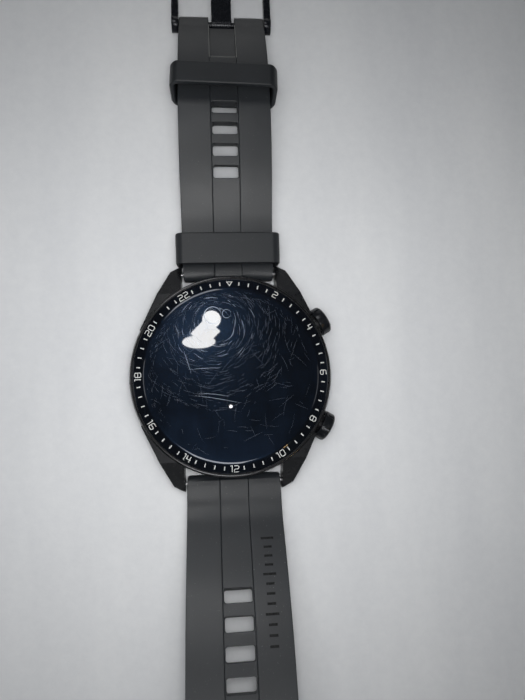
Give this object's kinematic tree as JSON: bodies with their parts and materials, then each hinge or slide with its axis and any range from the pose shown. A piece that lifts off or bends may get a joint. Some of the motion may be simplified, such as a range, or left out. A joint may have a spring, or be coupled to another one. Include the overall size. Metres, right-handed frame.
{
  "type": "smartwatch",
  "caption": "Round smartwatch with side buttons, scale ring, sensor back and a slotted two-piece strap with sliding keepers and a pin buckle.",
  "frame": {"origin": "centre of the sensor window's flat face, on which the case rests", "axes": "+Z out through the dial, +Y towards 12 o'clock and the buckle, +X towards the two buttons at 3 o'clock"},
  "size_m": [0.0466, 0.2414, 0.0252],
  "materials": {
    "case_metal": "satin black",
    "cover_plastic": "matt black",
    "sensor_plastic": "dark tinted",
    "screen_glass": "polished, scratched",
    "ring_paint": "gloss black",
    "panel_black": "dark",
    "silicone": "fine matt",
    "seal_rubber": "plain",
    "board": "solder mask",
    "flex": "copper flex",
    "led_white": "clear resin",
    "gold": "gold plated",
    "foil": "wrapped cell",
    "bright_steel": "bright"
  },
  "bodies": {
    "case": {"mid_case": "case_metal", "rear_cover": "cover_plastic", "sensor_window": "sensor_plastic", "cover_glass": "screen_glass", "rear_seal": "seal_rubber", "sensor_board": "board", "sensor_leds": "led_white", "sensor_flex": "flex", "charging_contacts": "gold", "scale_ring": "ring_paint", "glass_seal": "seal_rubber", "display_panel": "panel_black", "display_flex": "flex", "inner_frame": "cover_plastic", "main_board": "board", "shield_cans": "bright_steel", "board_chips": "panel_black", "board_screws": "bright_steel", "battery": "foil", "vibration_motor": "bright_steel", "speaker": "panel_black", "microphone": "bright_steel", "upper_button_tube": "bright_steel", "upper_button_seal": "seal_rubber", "upper_button_spring": "bright_steel", "upper_button_switch": "panel_black", "lower_button_tube": "bright_steel", "lower_button_seal": "seal_rubber", "lower_button_spring": "bright_steel", "lower_button_switch": "panel_black"},
    "upper_button": {"upper_button_cap": "case_metal", "upper_button_stem": "bright_steel", "upper_button_clip": "bright_steel"},
    "lower_button": {"lower_button_cap": "case_metal", "lower_button_stem": "bright_steel", "lower_button_clip": "bright_steel"},
    "buckle_strap": {"buckle_strap": "silicone", "upper_bar_barrel": "bright_steel", "upper_bar_fixed_tip": "bright_steel", "upper_bar_spring": "bright_steel"},
    "tail_strap": {"tail_strap": "silicone", "lower_bar_barrel": "bright_steel", "lower_bar_fixed_tip": "bright_steel", "lower_bar_spring": "bright_steel"},
    "upper_release": {"upper_bar_release_tip": "bright_steel"},
    "lower_release": {"lower_bar_release_tip": "bright_steel"},
    "low_keeper": {"low_keeper": "silicone"},
    "high_keeper": {"high_keeper": "silicone"},
    "buckle": {"buckle_frame": "case_metal", "buckle_pin": "bright_steel"},
    "tongue": {"buckle_tongue": "case_metal"}
  },
  "joints": [
    {"name": "upper_button_press", "type": "slide", "parent": "case", "child": "upper_button", "axis": [-0.866, -0.5, 0], "range_m": [0, 0.0004], "stiffness_N_per_m": 4000, "deforming": ["upper_button_spring"]},
    {"name": "lower_button_press", "type": "slide", "parent": "case", "child": "lower_button", "axis": [-0.866, 0.5, 0], "range_m": [0, 0.0004], "stiffness_N_per_m": 4000, "deforming": ["lower_button_spring"]},
    {"name": "buckle_strap_swing", "type": "hinge", "parent": "case", "child": "buckle_strap", "pos_m": [0, 0.0245, 0.0034], "axis": [1, 0, 0], "range_deg": [-75, 25]},
    {"name": "tail_strap_swing", "type": "hinge", "parent": "case", "child": "tail_strap", "pos_m": [0, -0.0245, 0.0034], "axis": [-1, 0, 0], "range_deg": [-75, 40]},
    {"name": "upper_release_slide", "type": "slide", "parent": "buckle_strap", "child": "upper_release", "axis": [-1, 0, 0], "range_m": [0, 0.0014], "stiffness_N_per_m": 900, "deforming": ["upper_bar_spring"]},
    {"name": "lower_release_slide", "type": "slide", "parent": "tail_strap", "child": "lower_release", "axis": [-1, 0, 0], "range_m": [0, 0.0014], "stiffness_N_per_m": 900, "deforming": ["lower_bar_spring"]},
    {"name": "low_keeper_slide", "type": "slide", "parent": "buckle_strap", "child": "low_keeper", "axis": [0, 0.9962, 0.0872], "range_m": [0, 0.0022]},
    {"name": "high_keeper_slide", "type": "hinge", "parent": "buckle_strap", "child": "high_keeper", "pos_m": [0, 0.06131, -0.04425], "axis": [1, 0, 0], "range_deg": [-10, 25]},
    {"name": "buckle_swing", "type": "hinge", "parent": "buckle_strap", "child": "buckle", "pos_m": [0, 0.08911, 0.00205], "axis": [1, 0, 0], "range_deg": [-60, 51]},
    {"name": "tongue_swing", "type": "hinge", "parent": "buckle", "child": "tongue", "pos_m": [0, 0.08911, 0.00205], "axis": [1, 0, 0], "range_deg": [0, 40]}
  ]
}
